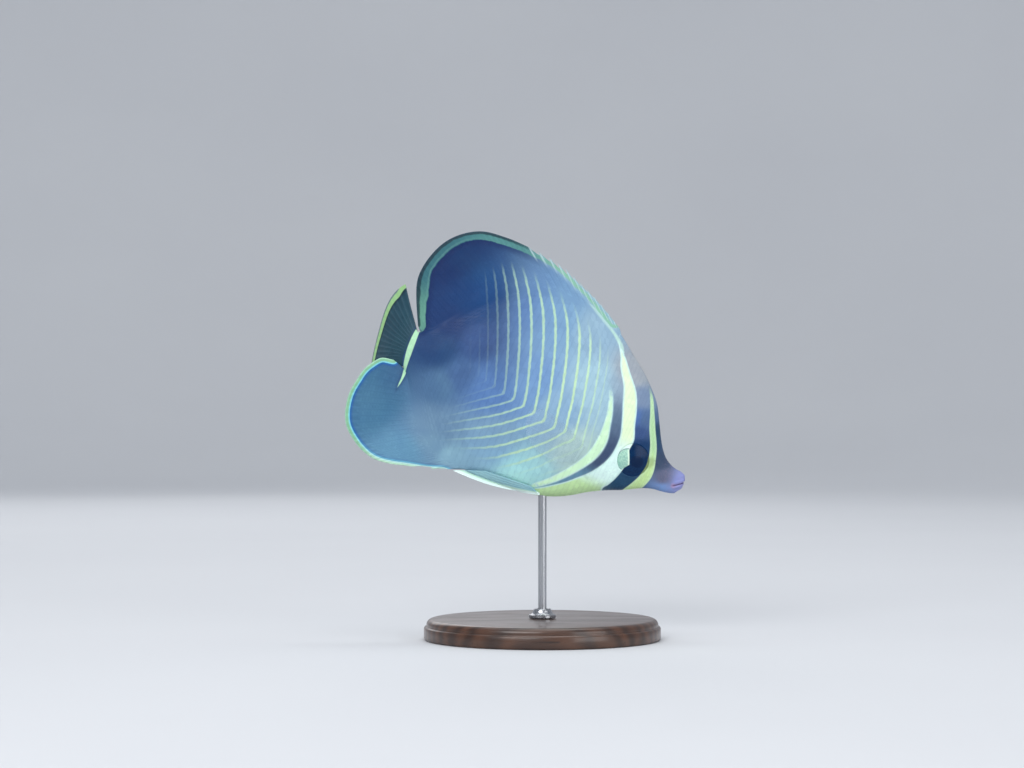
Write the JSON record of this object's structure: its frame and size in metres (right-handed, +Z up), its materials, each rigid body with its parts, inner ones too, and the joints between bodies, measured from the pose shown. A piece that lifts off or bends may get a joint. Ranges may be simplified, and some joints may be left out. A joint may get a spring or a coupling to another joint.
{
  "type": "eastern triangle butterflyfish display model",
  "caption": "Life-size still model of an eastern triangle butterflyfish, nose down with its tail swept aside, held by a rod on a round wooden base.",
  "frame": {"origin": "centre of the underside of the stand's base", "axes": "+Z up; +X the way the fish heads, seen from above; +Y towards the fish's left side"},
  "size_m": [0.1291, 0.09, 0.1551],
  "materials": {
    "skin": "satin, painted in bars and chevrons, scaled",
    "lips": "satin, moist",
    "fin": "satin membrane with rays",
    "clear_fin": "clear membrane with fine rays",
    "pelvic_fin": "satin, pale",
    "eye": "wet gloss over a grey-green iris and black pupil",
    "base_wood": "dark stained and waxed",
    "rod_steel": "brushed"
  },
  "bodies": {
    "root": {"head": "skin", "trunk": "skin", "tail_base": "skin", "gill_cover_right": "skin", "gill_cover_left": "skin", "upper_jaw": "lips", "lower_jaw": "lips", "eye_right": "eye", "eye_left": "eye", "dorsal_fin_spiny": "fin", "dorsal_fin_soft": "fin", "anal_fin": "fin", "caudal_fin": "fin", "pectoral_fin_right": "clear_fin", "pectoral_fin_left": "clear_fin", "pelvic_fin_right": "pelvic_fin", "pelvic_fin_left": "pelvic_fin", "stand_base": "base_wood", "stand_rod": "rod_steel", "stand_collar": "rod_steel"}
  },
  "joints": []
}
